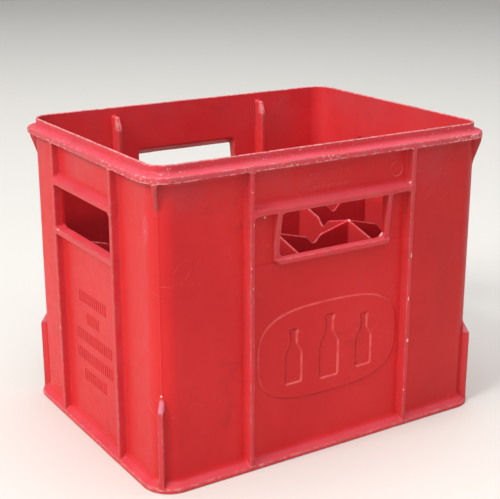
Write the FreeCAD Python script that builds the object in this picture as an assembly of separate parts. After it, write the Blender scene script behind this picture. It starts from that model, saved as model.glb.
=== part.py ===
"""Bottle crate: open-topped, injection-moulded, four columns by three rows of bottle cells.

The crate is one rigid moulding. It is modelled here as its named members, each a closed
solid that meets its neighbours face to face: wall panels, corner posts, outer ribs, rim
rails, foot rails, floor lattice, bottle dividers, guide ribs, handle hoods and sills.

Frame: millimetres, +Z up, X along the long side, origin at the centre of the footprint on
the plane the crate stands on. "front" is the long wall at -Y, "left" the end wall at -X.
"""
import FreeCAD
import Part
import math
import os

V = FreeCAD.Vector

# ---------------------------------------------------------------- driving dimensions
LENGTH = 400.0          # outside, over the rim and foot rails
WIDTH = 300.0
HEIGHT = 315.0          # to the top of the stacking lip

WALL_INSET = 9.0        # outer wall surface, in from the rim's outer edge
WALL_T = 3.0
WALL_IN = WALL_INSET + WALL_T      # inner wall surface, in from the rim's outer edge
CORNER_R = 29.0         # plan radius of the rim's outer edge, concentric on all rails

RIM_Z0 = 300.0          # lower edge of the rim skirt
RIM_Z1 = 306.0          # ledge that carries the next crate
LIP_IN = 9.6            # outer face of the stacking lip, in from the rim's outer edge
SKIRT_T = 2.8
SKIRT_ROOF = 303.0      # underside of the rim ledge, inside its skirt

FOOT_EDGE = 4.2         # height of the foot rail's outer edge
REBATE_Z = 10.0         # ceiling of the rebate that drops over the lip below
REBATE_IN = 8.6
WALL_Z0 = 14.0          # where the wall panels start
FLOOR_Z0, FLOOR_Z1 = 10.0, 14.0

RIB_T = 5.5             # outer ribs
RIB_FACE = 0.5          # rib face, in from the rim's outer edge
RIB_COVE = 4.0
LONG_RIB_U = 95.0       # rib centre lines on the long walls
END_RIB_U = 67.0        # and on the end walls

GRIP_W = 64.0           # half width of the hand holes
GRIP_R_LONG, GRIP_R_END = 8.0, 4.0     # their lower corners
GRIP_SILL = 211.5
GRIP_TOP_OUT = 257.0    # lower edge of the hood, at its outer face
GRIP_TOP_IN = 264.0     # top of the hand hole, at the inner wall surface
HOOD_Z = 262.0          # upper edge of the hood's outer face
FRAME_T = 5.0           # side lips of the long walls' hand holes
LIP_LOW = 7.2           # face of the side lips at their lower end, in from the rim's outer edge
SILL_DROP = 5.6

COLS, ROWS = 4, 3
DIV_T = 2.4
NODE_Z = 202.0          # divider height at the crossings
SHOULDER_Z = 192.5
VALLEY_Z = 183.8        # divider height at the narrowest gap between bottles
VALLEY_HALF = 12.0

GUIDE_T = 5.5           # guide ribs inside the long walls
GUIDE_D = 15.0
GUIDE_TOP = 305.5
GUIDE_FLAT = 9.0        # level part of the top, then the lead-in chamfer
GUIDE_SLOPE = 13.5

GUSSET_T = 5.0
TOP_GUSSET_TIP = 2.4    # the top gussets taper to this thickness
TOP_GUSSET_DROP = 27.0
FOOT_GUSSET_Z = 95.0
FOOT_GUSSET_SLOPE = 13.0

PLAQUE_A, PLAQUE_B = 86.0, 50.0    # half axes of the raised label plaque
PLAQUE_Z = 109.0
PLAQUE_T = 1.2
PLAQUE_POWER = 3.0
EMBLEM_D = 0.8          # depth of the bottles sunk in the plaque
MARK_T = 0.6            # how far the plain raised marks stand up
STROKE_W, STROKE_H, STROKE_PITCH = 1.7, 13.0, 5.0

INNER_X = LENGTH / 2 - WALL_IN     # 188
INNER_Y = WIDTH / 2 - WALL_IN      # 138
PITCH_X = 2 * INNER_X / COLS       # 94
PITCH_Y = 2 * INNER_Y / ROWS       # 92
CX, CY = LENGTH / 2 - CORNER_R, WIDTH / 2 - CORNER_R    # corner centres, 171 and 121

parts = {}


# ---------------------------------------------------------------- helpers
def rounded(points):
    """A closed 2D outline from [(a, b, radius)]: a list of ("L", p, q) and ("A", p, mid, q)."""
    n = len(points)
    cuts = []
    for i in range(n):
        p0, p1, p2 = points[i - 1], points[i], points[(i + 1) % n]
        r = p1[2] if len(p1) > 2 else 0.0
        ax, ay = p0[0] - p1[0], p0[1] - p1[1]
        bx, by = p2[0] - p1[0], p2[1] - p1[1]
        la, lb = math.hypot(ax, ay), math.hypot(bx, by)
        ax, ay, bx, by = ax / la, ay / la, bx / lb, by / lb
        if r <= 0:
            cuts.append((p1[:2], None, p1[:2]))
            continue
        half = math.acos(max(-1, min(1, ax * bx + ay * by))) / 2
        t = r / math.tan(half)
        hx, hy = ax + bx, ay + by
        lh = math.hypot(hx, hy)
        cx, cy = p1[0] + hx / lh * r / math.sin(half), p1[1] + hy / lh * r / math.sin(half)
        a = (p1[0] + ax * t, p1[1] + ay * t)
        b = (p1[0] + bx * t, p1[1] + by * t)
        m = (cx - hx / lh * r, cy - hy / lh * r)
        cuts.append((a, m, b))
    segs = []
    for i in range(n):
        a, m, b = cuts[i]
        if m is not None:
            segs.append(("A", a, m, b))
        c = cuts[(i + 1) % n][0]
        if math.hypot(b[0] - c[0], b[1] - c[1]) > 1e-6:
            segs.append(("L", b, c))
    return segs


def face_of(segs, place):
    edges = []
    for s in segs:
        if s[0] == "L":
            edges.append(Part.LineSegment(place(*s[1]), place(*s[2])).toShape())
        else:
            edges.append(Part.Arc(place(*s[1]), place(*s[2]), place(*s[3])).toShape())
    return Part.Face(Part.Wire(edges))


def along_u(points, u0, u1, half):
    """A (d, z) outline run along a wall from u0 to u1. half is the wall's distance from the centre."""
    f = face_of(rounded(points), lambda d, z: V(u0, d - half, z))
    return f.extrude(V(u1 - u0, 0, 0))


def along_z(points, z0, z1, half):
    """A (u, d) outline run up from z0 to z1."""
    f = face_of(rounded(points), lambda u, d: V(u, d - half, z0))
    return f.extrude(V(0, 0, z1 - z0))


def corner(points, sx, sy):
    """A (d, z) outline turned a quarter round one corner of the plan."""
    f = face_of(rounded(points), lambda d, z: V(CORNER_R - d, 0, z))
    start = {(1, 1): 0, (-1, 1): 90, (-1, -1): 180, (1, -1): 270}[(sx, sy)]
    s = f.revolve(V(0, 0, 0), V(0, 0, 1), 90)
    s.rotate(V(0, 0, 0), V(0, 0, 1), start)
    s.translate(V(sx * CX, sy * CY, 0))
    return s


def turned(shape, deg):
    s = shape.copy()
    s.rotate(V(0, 0, 0), V(0, 0, 1), deg)
    return s


def group(shapes):
    solids = []
    for s in shapes:
        solids += s.Solids
    return Part.makeCompound(solids) if len(solids) > 1 else solids[0]


def only_solids(shape):
    return group([shape.removeSplitter() if shape.Solids else shape])


# wall name: (half distance, straight half length, rib position, turn, is long)
WALLS = {
    "front": (WIDTH / 2, CX, LONG_RIB_U, 0, True),
    "right": (LENGTH / 2, CY, END_RIB_U, 90, False),
    "back": (WIDTH / 2, CX, LONG_RIB_U, 180, True),
    "left": (LENGTH / 2, CY, END_RIB_U, 270, False),
}
CORNERS = {"front_left": (-1, -1), "front_right": (1, -1), "back_right": (1, 1), "back_left": (-1, 1)}

# ---------------------------------------------------------------- section outlines, (d, z)
RIM = [
    (0.0, RIM_Z0, 0.6), (0.0, RIM_Z1, 1.6), (LIP_IN, RIM_Z1, 3.4), (LIP_IN, HEIGHT, 0.9),
    (WALL_IN, HEIGHT, 0.9), (WALL_IN, RIM_Z0, 0), (WALL_INSET, RIM_Z0, 0),
    (WALL_INSET, SKIRT_ROOF, 1.2), (SKIRT_T, SKIRT_ROOF, 0), (SKIRT_T, RIM_Z0, 0.6),
]
FOOT = [
    (0.0, 0.0, 0.8), (0.0, FOOT_EDGE, 1.2), (7.2, 8.8, 0), (WALL_INSET, 12.6, 0),
    (WALL_INSET, WALL_Z0, 0), (WALL_IN, WALL_Z0, 0), (WALL_IN, REBATE_Z, 0),
    (REBATE_IN, REBATE_Z, 0.8), (REBATE_IN, 0.0, 0.8), (5.8, 0.0, 0.4), (5.8, 3.2, 0.6),
    (2.9, 2.2, 0.4), (2.9, 0.0, 0.4),
]
# the space between foot rail and rim that an outer rib fills
RIB_SIDE = [
    (RIB_FACE, 4.62, 0), (7.2, 8.8, 0), (WALL_INSET, 12.6, 0),
    (WALL_INSET, SKIRT_ROOF - 1.2, 0), (WALL_INSET - 1.2, SKIRT_ROOF, 0), (SKIRT_T + 0.02, SKIRT_ROOF, 0),
    (SKIRT_T + 0.02, RIM_Z0, 0), (RIB_FACE, RIM_Z0, 0),
]
# everything above the sloping roof of a hand hole
GRIP_ROOF = [(-1, GRIP_TOP_OUT, 0), (3.2, GRIP_TOP_OUT, 0), (WALL_INSET, 261.5, 0), (WALL_IN, GRIP_TOP_IN, 0),
             (WALL_IN + 3, GRIP_TOP_IN, 0), (WALL_IN + 3, 290, 0), (-1, 290, 0)]
HOOD = [
    (WALL_INSET, 270.5, 0), (5.4, 265.2, 6.0), (0.4, HOOD_Z, 1.4), (0.4, GRIP_TOP_OUT, 1.6),
    (3.2, GRIP_TOP_OUT, 1.2), (WALL_INSET, 261.5, 0),
]
# sill and side lips of a long wall's hand hole: the lips fade out downwards, the sill stands out again
LIPS = [
    (WALL_INSET, 204.0, 0), (5.0, 205.2, 2.0), (1.8, 206.4, 0.8), (1.8, GRIP_SILL, 1.4), (LIP_LOW, GRIP_SILL, 0.8),
    (LIP_LOW, 228.0, 8.0), (0.4, GRIP_TOP_OUT, 0), (0.4, 262.0, 0), (WALL_INSET, 262.0, 0),
]
SILL = [
    (WALL_INSET, 202.4, 0), (6.4, 205.0, 2.5), (0.4, GRIP_SILL - SILL_DROP, 1.6), (0.4, GRIP_SILL, 2.0),
    (WALL_INSET, GRIP_SILL, 0),
]


def rib_plan(u):
    """Plan of an outer rib with a cove each side of its foot."""
    h = RIB_T / 2
    return [
        (u - h - RIB_COVE, WALL_INSET, 0), (u - h - 0.3, WALL_INSET - 0.01, RIB_COVE * 0.9),
        (u - h + 0.4, RIB_FACE, 1.0), (u + h - 0.4, RIB_FACE, 1.0),
        (u + h + 0.3, WALL_INSET - 0.01, RIB_COVE * 0.9), (u + h + RIB_COVE, WALL_INSET, 0),
    ]


def plaque(half, power, a, b, z, t, n=48):
    """A raised plaque with a squared-oval outline on a wall's outer surface."""
    pts = []
    for k in range(n):
        w = 2 * math.pi * k / n
        c, s = math.cos(w), math.sin(w)
        u = a * math.copysign(abs(c) ** (2 / power), c)
        v = b * math.copysign(abs(s) ** (2 / power), s)
        pts.append(V(u, WALL_INSET - half, z + v))
    curve = Part.BSplineCurve()
    curve.interpolate(Points=pts, PeriodicFlag=True)
    return Part.Face(Part.Wire([curve.toShape()])).extrude(V(0, -t, 0))


EMBLEM = [(-43.0, -2.0, 0.92), (0.0, 0.0, 1.08), (43.0, -2.0, 0.92)]    # three plain bottles: u, dz, scale
# rows of plain strokes: (centre height, how many)
END_ROWS = [(148.0, 13), (126.5, 6), (105.0, 17), (83.5, 17), (62.0, 11)]
# rows of plain bars: (centre height, bar widths)
BAND_ROWS = [(287.0, [6, 9, 5, 8, 6, 9]), (273.0, [7, 5, 9, 6, 7])]


def spread(widths, gap):
    """Centres and widths of a row of bars, centred on the wall."""
    u = -(sum(widths) + gap * (len(widths) - 1)) / 2
    out = []
    for w in widths:
        out.append((u + w / 2, w))
        u += w + gap
    return out


def bar(u, z, w, h, r, face):
    pts = [(u - w / 2, z - h / 2, r), (u + w / 2, z - h / 2, r), (u + w / 2, z + h / 2, r), (u - w / 2, z + h / 2, r)]
    return face_of(rounded(pts), lambda a, b: V(a, face, b)).extrude(V(0, -MARK_T, 0))


def bottle(u, z, k, face):
    """A plain bottle, 62 mm tall at k = 1, with its middle at z, to be sunk in from the face."""
    right = [(10.5, -31, 2.5), (10.5, 3, 7), (3.9, 14, 7), (3.9, 26.5, 0), (5.0, 26.5, 0), (5.0, 31, 1.2)]
    pts = right + [(-a, b, r) for a, b, r in reversed(right)]
    pts = [(u + k * a, z + k * b, k * r) for a, b, r in pts]
    return face_of(rounded(pts), lambda a, b: V(a, face, b)).extrude(V(0, EMBLEM_D, 0))


# ---------------------------------------------------------------- walls
for name, (half, straight, rib_u, turn, is_long) in WALLS.items():
    panel = along_z([(-straight, WALL_INSET, 0), (straight, WALL_INSET, 0), (straight, WALL_IN, 0), (-straight, WALL_IN, 0)],
                    WALL_Z0, RIM_Z0, half)
    # the hand hole: its roof slopes up from the hood to the inner surface
    r = GRIP_R_LONG if is_long else GRIP_R_END
    mask = face_of(rounded([(-GRIP_W, GRIP_SILL, r), (GRIP_W, GRIP_SILL, r), (GRIP_W, 280, 0), (-GRIP_W, 280, 0)]),
                   lambda u, z: V(u, -half, z)).extrude(V(0, 30, 0))
    hole = mask.cut(along_u(GRIP_ROOF, -GRIP_W - 5, GRIP_W + 5, half))
    panel = panel.cut(hole)
    ribs = []
    for s in (-1, 1):
        rib = along_z(rib_plan(s * rib_u), 0, RIM_Z0 + 10, half).common(
            along_u(RIB_SIDE, s * rib_u - 12, s * rib_u + 12, half))
        ribs.append(rib if is_long else rib.cut(hole))
    ribs = group(ribs)
    hood = along_u(HOOD, -rib_u, rib_u, half).cut(ribs)
    inner = [x for x in hood.Solids if x.Volume > 50]
    hood = group(inner)
    parts[name + "_wall_panel"] = turned(panel, turn)
    parts[name + "_outer_ribs"] = turned(ribs, turn)
    parts[name + "_handle_hood"] = turned(hood, turn)
    if is_long:
        # sill and side lips round the hand hole, which is narrower than the gap between the ribs
        ring_out = face_of(rounded([(-GRIP_W - FRAME_T, 204.0, 8.0), (GRIP_W + FRAME_T, 204.0, 8.0),
                                    (GRIP_W + FRAME_T, 262, 0), (-GRIP_W - FRAME_T, 262, 0)]),
                           lambda u, z: V(u, 0.4 - half, z)).extrude(V(0, WALL_INSET - 0.4, 0))
        ring_out = ring_out.common(along_u(LIPS, -GRIP_W - FRAME_T - 1, GRIP_W + FRAME_T + 1, half))
        lips = ring_out.cut(mask).cut(hood)
        lips = group([x for x in lips.Solids if x.Volume > 50])
        parts[name + "_handle_sill"] = turned(lips, turn)
    else:
        sill = along_u(SILL, -rib_u, rib_u, half).cut(ribs).cut(mask)
        sill = group([x for x in sill.Solids if x.Volume > 50])
        parts[name + "_handle_sill"] = turned(sill, turn)
    if is_long:
        face = WALL_INSET - PLAQUE_T - half
        pad = plaque(half, PLAQUE_POWER, PLAQUE_A, PLAQUE_B, PLAQUE_Z, PLAQUE_T)
        pad = pad.cut([bottle(u, PLAQUE_Z + dz, k, face) for u, dz, k in EMBLEM])
        parts[name + "_label_plaque"] = turned(group([pad]), turn)
        marks = [bar(u, z, w, 4.4, 1.0, WALL_INSET - half) for z, row in BAND_ROWS for u, w in spread(row, 2.0)]
        ring = Part.makeCylinder(8.0, MARK_T, V(79, WALL_INSET - half, 279), V(0, -1, 0)).cut(
            Part.makeCylinder(6.8, MARK_T, V(79, WALL_INSET - half, 279), V(0, -1, 0)))
        parts[name + "_mould_marks"] = turned(group(marks + [ring]), turn)
        guides = []
        for s in (-1, 1):
            u = s * PITCH_X
            g = along_u([(WALL_IN, FLOOR_Z1, 0), (WALL_IN + GUIDE_D, FLOOR_Z1, 0),
                         (WALL_IN + GUIDE_D, GUIDE_TOP - GUIDE_SLOPE, 4.0), (WALL_IN + GUIDE_FLAT, GUIDE_TOP, 3.0),
                         (WALL_IN, GUIDE_TOP, 0)],
                        u - GUIDE_T / 2, u + GUIDE_T / 2, half)
            guides.append(g)
        parts[name + "_guide_ribs"] = turned(group(guides), turn)
    else:
        bars = [bar(u, z, w, STROKE_H, 0.6, WALL_INSET - half)
                for z, n in END_ROWS for u, w in spread([STROKE_W] * n, STROKE_PITCH - STROKE_W)]
        parts[name + "_mark_bars"] = turned(group(bars), turn)
    parts[name + "_rim_rail"] = turned(along_u(RIM, -straight, straight, half), turn)
    parts[name + "_foot_rail"] = turned(along_u(FOOT, -straight, straight, half), turn)

# ---------------------------------------------------------------- corners
post = [(WALL_INSET, WALL_Z0, 0), (WALL_INSET, RIM_Z0, 0), (WALL_IN, RIM_Z0, 0), (WALL_IN, WALL_Z0, 0)]
top_gussets, foot_gussets = [], []
for name, (sx, sy) in CORNERS.items():
    parts[name + "_corner_post"] = corner(post, sx, sy)
    # diagonal gussets: outlines in (distance from the corner centre, z), then a thickness
    ang = {(1, 1): 45, (-1, 1): 135, (-1, -1): 225, (1, -1): 315}[(sx, sy)]
    r_wall, r_out = CORNER_R - WALL_INSET, CORNER_R - RIB_FACE - 0.4
    ring = Part.makeCylinder(60, 400).cut(Part.makeCylinder(r_wall, 400))
    for outline, store in (
        ([(r_wall - 2, RIM_Z0 - TOP_GUSSET_DROP, 0), (r_wall, RIM_Z0 - TOP_GUSSET_DROP, 0), (r_out, RIM_Z0 - 3, 0), (r_out, RIM_Z0, 0),
          (CORNER_R - SKIRT_T - 0.02, RIM_Z0, 0), (CORNER_R - SKIRT_T - 0.02, SKIRT_ROOF, 0),
          (r_wall + 1.25, SKIRT_ROOF, 0), (r_wall + 1.25, RIM_Z0 - 0.3, 0), (r_wall - 2, RIM_Z0 - 0.3, 0)], top_gussets),
        ([(r_wall - 2, 12.7, 0), (r_wall + 0.02, 12.7, 0), (CORNER_R - 7.2, 8.82, 0), (r_out, 4.92, 0),
          (r_out, FOOT_GUSSET_Z - FOOT_GUSSET_SLOPE, 1.5), (r_wall, FOOT_GUSSET_Z, 0), (r_wall - 2, FOOT_GUSSET_Z, 0)], foot_gussets),
    ):
        g = face_of(rounded(outline), lambda a, z: V(a, -GUSSET_T / 2, z)).extrude(V(0, GUSSET_T, 0))
        g = g.cut(Part.makeCylinder(r_wall, 400))
        if store is top_gussets:
            a, b, z0 = TOP_GUSSET_TIP / 2, GUSSET_T / 2, RIM_Z0 - TOP_GUSSET_DROP
            g = g.common(face_of([("L", p, q) for p, q in zip(
                [(-a, z0 - 1), (a, z0 - 1), (b, RIM_Z0 - 1), (b, 310), (-b, 310), (-b, RIM_Z0 - 1)],
                [(a, z0 - 1), (b, RIM_Z0 - 1), (b, 310), (-b, 310), (-b, RIM_Z0 - 1), (-a, z0 - 1)])],
                lambda t, z: V(0, t, z)).extrude(V(60, 0, 0)))
        g.rotate(V(0, 0, 0), V(0, 0, 1), ang)
        g.translate(V(sx * CX, sy * CY, 0))
        store.append(g)
rim_corners = group([corner(RIM, sx, sy) for sx, sy in CORNERS.values()])
foot_corners = group([corner(FOOT, sx, sy) for sx, sy in CORNERS.values()])
parts["rim_corners"] = rim_corners
parts["foot_corners"] = foot_corners
# gussets follow the round foot rail, so trim them to it
parts["rim_gussets"] = group([g.cut(rim_corners) for g in top_gussets])
parts["foot_gussets"] = group([g.cut(foot_corners) for g in foot_gussets])

# ---------------------------------------------------------------- floor lattice
floor = face_of(rounded([(-INNER_X, -INNER_Y, CORNER_R - WALL_IN), (INNER_X, -INNER_Y, CORNER_R - WALL_IN),
                         (INNER_X, INNER_Y, CORNER_R - WALL_IN), (-INNER_X, INNER_Y, CORNER_R - WALL_IN)]),
                lambda x, y: V(x, y, FLOOR_Z0)).extrude(V(0, 0, FLOOR_Z1 - FLOOR_Z0))
cutters = []
HUB_R, RING_R, SPOKE = 12.0, 37.0, 7.0
MID_R0, MID_R1 = 20.5, 24.5
for i in range(COLS):
    for j in range(ROWS):
        x, y = -INNER_X + PITCH_X * (i + 0.5), -INNER_Y + PITCH_Y * (j + 0.5)
        hub = Part.makeCylinder(HUB_R, 20, V(x, y, 0))
        disc = Part.makeCylinder(RING_R, 20, V(x, y, 0)).cut(Part.makeCylinder(MID_R1, 20, V(x, y, 0)))
        inner_ring = Part.makeCylinder(MID_R0, 20, V(x, y, 0)).cut(Part.makeCylinder(HUB_R + 3.5, 20, V(x, y, 0)))
        spokes = []
        for a in (45, 135):
            b = Part.makeBox(2 * RING_R + 8, SPOKE, 20, V(-RING_R - 4, -SPOKE / 2, 0))
            b.rotate(V(0, 0, 0), V(0, 0, 1), a)
            b.translate(V(x, y, 0))
            spokes.append(b)
        cutters.append(hub)
        cutters += disc.cut(spokes).Solids
        cutters += inner_ring.cut(spokes).Solids
floor = floor.cut(cutters)
parts["floor_lattice"] = group([floor])


# ---------------------------------------------------------------- dividers
def crest(s, gap):
    """Height of a divider's edge at distance s from a crossing, the next crossing being gap away."""
    s = min(s, gap - s)
    mid = gap / 2
    k = mid - VALLEY_HALF
    if s <= k:
        return NODE_Z - (NODE_Z - SHOULDER_Z) * s / k
    t = (s - k) / VALLEY_HALF
    return SHOULDER_Z - (SHOULDER_Z - VALLEY_Z) * (0.5 - 0.5 * math.cos(math.pi * t))


def end_crest(s, gap):
    """The same from the last crossing out to a long wall: a straight fall, then a low saddle."""
    fall = NODE_Z - (NODE_Z - SHOULDER_Z) / 35.0 * s
    if s < gap - 26:
        return fall
    base = NODE_Z - (NODE_Z - SHOULDER_Z) / 35.0 * (gap - 26)
    t = (s - (gap - 26)) / 26.0
    return base - 3.0 * math.sin(math.pi * min(1.0, t * 1.15)) + 5.0 * t * t


def divider(a0, a1, height, place, thick):
    """A sheet from a0 to a1 with its edge at height(a)."""
    n = max(8, int((a1 - a0) / 3.0))
    pts = [place(a0 + (a1 - a0) * k / n, height(a0 + (a1 - a0) * k / n)) for k in range(n + 1)]
    top = Part.BSplineCurve()
    top.interpolate(pts)
    lo0, lo1 = place(a0, FLOOR_Z1), place(a1, FLOOR_Z1)
    w = Part.Wire([top.toShape(), Part.LineSegment(pts[-1], lo1).toShape(),
                   Part.LineSegment(lo1, lo0).toShape(), Part.LineSegment(lo0, pts[0]).toShape()])
    return Part.Face(w).extrude(thick)


def long_height(x):
    """Edge height of the lengthwise dividers; a crossing height also at the end walls."""
    s = (x + INNER_X) % PITCH_X
    return crest(s, PITCH_X)


def cross_height(y, end):
    a = abs(y)
    if a <= PITCH_Y / 2:
        return crest(a + PITCH_Y / 2, PITCH_Y)
    return end_crest(a - PITCH_Y / 2, end - PITCH_Y / 2)


for name, y in (("front", -PITCH_Y / 2), ("back", PITCH_Y / 2)):
    # made in bays between the crossings, so that each valley is one smooth curve
    bays = []
    for i in range(COLS):
        x0, x1 = -INNER_X + i * PITCH_X, -INNER_X + (i + 1) * PITCH_X
        bays.append(divider(x0, x1, lambda a: crest(a - x0, PITCH_X), lambda a, z: V(a, y - DIV_T / 2, z), V(0, DIV_T, 0)))
    s = bays[0].fuse(bays[1:])
    parts["long_divider_" + name] = group([s])
for name, x in (("left", -PITCH_X), ("middle", 0.0), ("right", PITCH_X)):
    end = INNER_Y if x == 0 else INNER_Y - GUIDE_D
    t = DIV_T / 2
    bays = []
    for y0, y1 in ((-end, -PITCH_Y / 2 - t), (-PITCH_Y / 2 + t, PITCH_Y / 2 - t), (PITCH_Y / 2 + t, end)):
        bays.append(divider(y0, y1, lambda a: cross_height(a, end), lambda a, z: V(x - t, a, z), V(DIV_T, 0, 0)))
    parts["cross_divider_" + name] = group(bays)

# ---------------------------------------------------------------- write the parts
os.makedirs("parts", exist_ok=True)
for stale in os.listdir("parts"):
    if stale.endswith(".step") and stale[:-5] not in parts:
        os.remove(os.path.join("parts", stale))
total = 0.0
for node, shape in sorted(parts.items()):
    bad = [s for s in shape.Solids if not s.isValid() or s.Volume <= 0]
    total += shape.Volume
    print("%-28s solids %2d volume %9.0f %s" % (node, len(shape.Solids), shape.Volume, "INVALID" if bad else ""))
    shape.exportStep("parts/%s.step" % node)
print(len(parts), "nodes, volume", round(total / 1000.0), "cm3")
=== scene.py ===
"""Looks for the bottle crate: every member is rebuilt as a finished moulding, with coves, worn edges and plastic.

The moulding is described once, as a distance field in millimetres. Each piece is then meshed from it on shared grid
lines, so neighbouring pieces meet on the same vertices and the crate reads as one casting of plastic.
"""
import math

import bpy
import numpy as np
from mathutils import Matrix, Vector
from mathutils.geometry import delaunay_2d_cdt


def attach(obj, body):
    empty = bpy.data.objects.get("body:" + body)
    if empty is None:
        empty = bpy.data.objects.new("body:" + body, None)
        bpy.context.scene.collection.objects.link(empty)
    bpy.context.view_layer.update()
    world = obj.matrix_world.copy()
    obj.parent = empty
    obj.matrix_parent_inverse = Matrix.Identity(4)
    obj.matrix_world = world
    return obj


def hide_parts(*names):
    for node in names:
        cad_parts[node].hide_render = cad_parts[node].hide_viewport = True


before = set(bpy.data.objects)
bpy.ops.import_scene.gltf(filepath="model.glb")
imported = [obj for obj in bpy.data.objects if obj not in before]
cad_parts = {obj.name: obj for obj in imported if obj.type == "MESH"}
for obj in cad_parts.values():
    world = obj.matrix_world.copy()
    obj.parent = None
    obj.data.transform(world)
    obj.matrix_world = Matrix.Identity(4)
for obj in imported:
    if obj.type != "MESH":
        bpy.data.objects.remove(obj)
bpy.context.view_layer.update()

# ------------------------------------------------------------------ the same sizes as the design, mm
L2, W2, H = 200.0, 150.0, 315.0
CR = 29.0
CX, CY = L2 - CR, W2 - CR
PX, PY = 94.0, 92.0
GRIP, SILL = 64.0, 211.5
NODE_Z, SHOULDER_Z, VALLEY_Z, VALLEY_HALF = 202.0, 192.5, 183.8, 12.0


# ------------------------------------------------------------------ field helpers
def ru(a, b, r):
    """Union with a cove of radius r."""
    return np.maximum(r, np.minimum(a, b)) - np.hypot(np.maximum(r - a, 0), np.maximum(r - b, 0))


def ri(a, b, r):
    """Intersection with an edge rounded to radius r."""
    return np.minimum(-r, np.maximum(a, b)) + np.hypot(np.maximum(a + r, 0), np.maximum(b + r, 0))


def step(x, w):
    t = np.clip(x / w + 0.5, 0, 1)
    return t * t * (3 - 2 * t)


def waves(x, y, z):
    """Slow unevenness of old moulded walls, mm."""
    return 0.10 * np.sin(x / 23.0 + 0.7 + 0.9 * np.sin(z / 61.0)) * np.sin(z / 37.0 + 1.9 + y / 55.0) \
        + 0.09 * np.sin(y / 19.0 + 2.1 + 0.8 * np.sin(z / 47.0 + x / 90.0)) * np.sin(z / 29.0 + 0.4) \
        + 0.05 * np.sin(x / 9.0 + z / 13.0 + 1.0) * np.sin(y / 11.0 - z / 17.0 + 0.3)


# bites and dents: centre, radius; most along the rim's and foot's outer edges
def edge_points(n, inset, z, seed):
    rng = np.random.default_rng(seed)
    out = []
    a, b = 2 * CX, 2 * CY
    arc = math.pi / 2 * (CR - inset)
    total = 2 * a + 2 * b + 4 * arc
    for s in rng.uniform(0, total, n):
        side = 0
        segs = [("x", -1), ("c", (1, -1, -90)), ("y", 1), ("c", (1, 1, 0)), ("x", 1), ("c", (-1, 1, 90)), ("y", -1), ("c", (-1, -1, 180))]
        for kind, arg in segs:
            ln = a if kind == "x" else b if kind == "y" else arc
            if s <= ln:
                break
            s -= ln
        if kind == "x":
            p = (s - CX, arg * (W2 - inset))
        elif kind == "y":
            p = (arg * (L2 - inset), s - CY)
        else:
            sx, sy, a0 = arg
            w = math.radians(a0) + s / (CR - inset)
            p = (sx * CX + (CR - inset) * math.cos(w), sy * CY + (CR - inset) * math.sin(w))
        out.append((p[0], p[1], z))
    return out


BITES = []
_r = np.random.default_rng(7)
for p in edge_points(70, -1.7, 300.3, 11):
    BITES.append((*p, float(_r.uniform(1.9, 3.0))))
for p in edge_points(30, -1.9, 306.2, 12):
    BITES.append((*p, float(_r.uniform(1.9, 2.7))))
for p in edge_points(46, 10.6, 317.0, 13):
    BITES.append((*p, float(_r.uniform(2.1, 2.9))))
for p in edge_points(40, -1.8, 3.4, 14):
    BITES.append((*p, float(_r.uniform(1.9, 2.7))))
for s in (-1, 1):
    for u in (-95.0, 95.0):
        for z in _r.uniform(20, 290, 9):
            BITES.append((u + float(_r.uniform(-3, 3)), s * (W2 + 1.3), float(z), float(_r.uniform(1.4, 2.2))))
    for u in (-67.0, 67.0):
        for z in _r.uniform(20, 290, 9):
            BITES.append((s * (L2 + 1.3), u + float(_r.uniform(-3, 3)), float(z), float(_r.uniform(1.4, 2.2))))
BITES = np.array(BITES)


# ------------------------------------------------------------------ the moulding
def shell(d, z, recess=None):
    face = 9.0 if recess is None else 9.0 + recess
    wall = np.maximum(np.maximum(face - d, d - 12.0), np.maximum(z - 304.0, 9.95 - z))
    lip = ri(np.abs(d - 10.75) - 1.25, z - H, 1.05)
    wl = np.minimum(wall, np.maximum(lip, 302.0 - z))
    led = ri(0.15 - d, z - (305.7 + 0.06 * d), 1.7)
    led = ri(led, 300.0 - z, 0.9)
    led = np.maximum(led, d - 12.0)
    led = ri(led, -np.maximum(np.abs(d - 5.9) - 3.1, z - 303.0), 0.4)
    top = ru(wl, led, 4.4)
    foot = ri(0.15 - d, (z - (4.3 + 0.62 * d)) * 0.85, 1.4)
    foot = ri(foot, 0.02 - z, 0.9)
    foot = np.maximum(np.maximum(foot, z - 14.0), d - 12.0)
    foot = ri(foot, -np.maximum(8.6 - d, z - 10.0), 0.5)
    foot = ri(foot, -np.maximum(np.abs(d - 4.35) - 1.45, z - 3.0), 0.35)
    return np.maximum(ru(top, foot, 4.0), d - 12.0)


def rib(u, d, z, at):
    r = ri(np.abs(u - at) - (2.30 + 0.05 * d), 0.5 - d, 1.1)
    return np.maximum(np.maximum(r, d - 9.3), np.maximum(3.6 - z, z - 301.4))


def hood(u, d, z, half):
    h = ri((z - (262.2 + 0.5 * (d - 0.4))) * 0.9, 0.4 - d, 1.3)
    h = ri(h, np.maximum(257.0 - z, (257.0 + 0.8 * (d - 3.2) - z) * 0.78), 1.1)
    return np.maximum(np.maximum(h, u - half), (d - 9.3) * 1.7)


def grip(u, d, z, half, r):
    roof = np.where(d < 3.2, z - 257.0, (z - 257.0 - 0.8 * (d - 3.2)) * 0.78)
    return ri(ri(u - half, SILL - z, r), roof, 3.2)


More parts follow.
